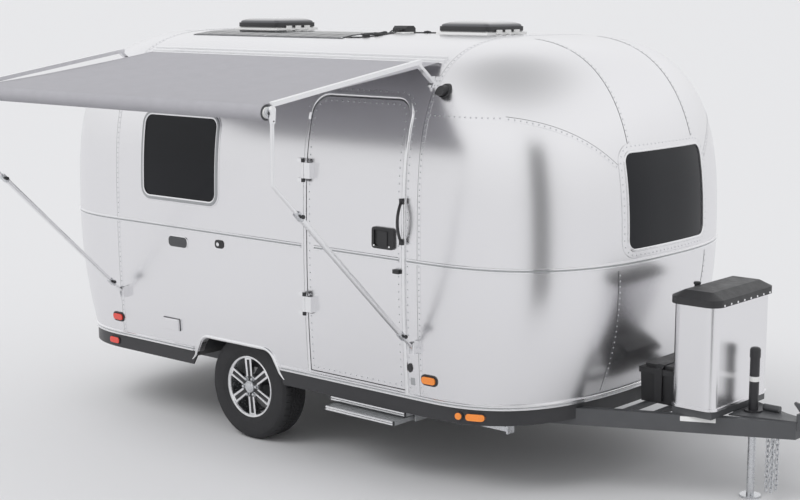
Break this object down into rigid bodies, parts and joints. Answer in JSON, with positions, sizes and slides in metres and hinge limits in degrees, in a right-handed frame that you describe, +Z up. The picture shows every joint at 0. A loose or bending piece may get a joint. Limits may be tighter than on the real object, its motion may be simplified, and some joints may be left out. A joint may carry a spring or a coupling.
{
  "type": "single-axle travel trailer",
  "caption": "Riveted aluminium travel trailer with rounded ends, a side door, a patio awning on arms, roof vents, a folding step, stabilizer legs, a gas bottle cover and a tongue jack.",
  "frame": {"origin": "centre of the hitch ball in the coupler's socket", "axes": "+X forward towards the tow vehicle, +Y to the street side, +Z up"},
  "size_m": [5.5818, 3.5279, 2.701],
  "materials": {
    "aluminium": "brushed",
    "bright_trim": "polished",
    "alloy": "machined",
    "dark_steel": "satin",
    "black_steel": "satin",
    "grey_steel": "satin",
    "zinc_steel": "zinc plated",
    "tyre": "matt",
    "floor": "matt",
    "dark_glass": "tinted",
    "black_plastic": "grained",
    "white_plastic": "satin",
    "smoked_plastic": "gloss",
    "solar": "satin",
    "amber_lens": "gloss",
    "red_lens": "gloss",
    "grey_cloth": "woven"
  },
  "bodies": {
    "trailer": {"chassis_frame": "dark_steel", "tongue_bars": "dark_steel", "coupler": "dark_steel", "jack_post": "black_steel", "safety_chains": "zinc_steel", "gas_tray": "dark_steel", "gas_cover": "aluminium", "gas_cap": "black_plastic", "battery_box": "black_plastic", "axle": "dark_steel", "floor_pan": "floor", "wheel_wells": "dark_steel", "skirt": "black_steel", "front_cap": "aluminium", "rear_cap": "aluminium", "curb_wall": "aluminium", "street_wall": "aluminium", "roof_panel": "aluminium", "roof_sides": "aluminium", "belt_rail": "bright_trim", "rim_trim": "bright_trim", "arch_trims": "bright_trim", "window_frames": "aluminium", "window_panes": "dark_glass", "door_trim": "bright_trim", "hinge_mounts": "black_steel", "grab_handle": "black_plastic", "awning_rail": "bright_trim", "awning_cloth": "grey_cloth", "awning_roller": "bright_trim", "rafters": "bright_trim", "support_arms": "bright_trim", "arm_brackets": "bright_trim", "vent_bases": "white_plastic", "solar_panel": "solar", "cable_box": "black_plastic", "roof_leads": "black_plastic", "amber_lamps": "amber_lens", "red_lamps": "red_lens", "porch_lamp": "black_plastic", "side_fittings": "bright_trim", "step_frame": "grey_steel", "leg_brackets": "dark_steel"},
    "wheel_curb": {"tyre_curb": "tyre", "rim_curb": "alloy"},
    "wheel_street": {"tyre_street": "tyre", "rim_street": "alloy"},
    "door": {"door_leaf": "aluminium", "door_hinges": "bright_trim", "door_latch": "black_plastic"},
    "jack_foot_leg": {"jack_leg": "zinc_steel"},
    "vent_lid_rear": {"vent_lid_rear": "smoked_plastic"},
    "vent_lid_front": {"vent_lid_front": "smoked_plastic"},
    "step_arms": {"step_arms": "grey_steel"},
    "step_tread": {"step_tread": "grey_steel"},
    "leg_front_curb": {"leg_front_curb": "zinc_steel"},
    "leg_front_street": {"leg_front_street": "zinc_steel"},
    "leg_rear_curb": {"leg_rear_curb": "zinc_steel"},
    "leg_rear_street": {"leg_rear_street": "zinc_steel"}
  },
  "joints": [
    {"name": "wheel_curb_spin", "type": "hinge", "parent": "trailer", "child": "wheel_curb", "pos_m": [-3.42, -1, -0.154], "axis": [0, 1, 0], "continuous": true},
    {"name": "wheel_street_spin", "type": "hinge", "parent": "trailer", "child": "wheel_street", "pos_m": [-3.42, 1, -0.154], "axis": [0, 1, 0], "continuous": true},
    {"name": "door_swing", "type": "hinge", "parent": "trailer", "child": "door", "pos_m": [-2.783, -1.205, 0.91], "axis": [0, 0, -1], "range_deg": [0, 165]},
    {"name": "jack_stroke", "type": "slide", "parent": "trailer", "child": "jack_foot_leg", "axis": [0, 0, 1], "range_m": [-0.04, 0.32]},
    {"name": "vent_lid_rear_tilt", "type": "hinge", "parent": "trailer", "child": "vent_lid_rear", "pos_m": [-4.422, 0, 2.146], "axis": [0, -1, 0], "range_deg": [0, 70]},
    {"name": "vent_lid_front_tilt", "type": "hinge", "parent": "trailer", "child": "vent_lid_front", "pos_m": [-2.582, 0, 2.146], "axis": [0, -1, 0], "range_deg": [0, 70]},
    {"name": "step_swing", "type": "hinge", "parent": "trailer", "child": "step_arms", "pos_m": [-2.34, -1.01, -0.124], "axis": [-1, 0, 0], "range_deg": [0, 150]},
    {"name": "step_level", "type": "hinge", "parent": "step_arms", "child": "step_tread", "pos_m": [-2.34, -0.83, -0.124], "axis": [-1, 0, 0], "range_deg": [-150, 0]},
    {"name": "leg_front_curb_swing", "type": "hinge", "parent": "trailer", "child": "leg_front_curb", "pos_m": [-1.86, -0.8, -0.14], "axis": [0, 1, 0], "range_deg": [0, 80]},
    {"name": "leg_front_street_swing", "type": "hinge", "parent": "trailer", "child": "leg_front_street", "pos_m": [-1.86, 0.8, -0.14], "axis": [0, 1, 0], "range_deg": [0, 80]},
    {"name": "leg_rear_curb_swing", "type": "hinge", "parent": "trailer", "child": "leg_rear_curb", "pos_m": [-4.71, -0.8, -0.14], "axis": [0, -1, 0], "range_deg": [0, 80]},
    {"name": "leg_rear_street_swing", "type": "hinge", "parent": "trailer", "child": "leg_rear_street", "pos_m": [-4.71, 0.8, -0.14], "axis": [0, -1, 0], "range_deg": [0, 80]}
  ],
  "couplings": [
    {"joint": "step_level", "follows": "step_swing", "ratio": -1}
  ]
}
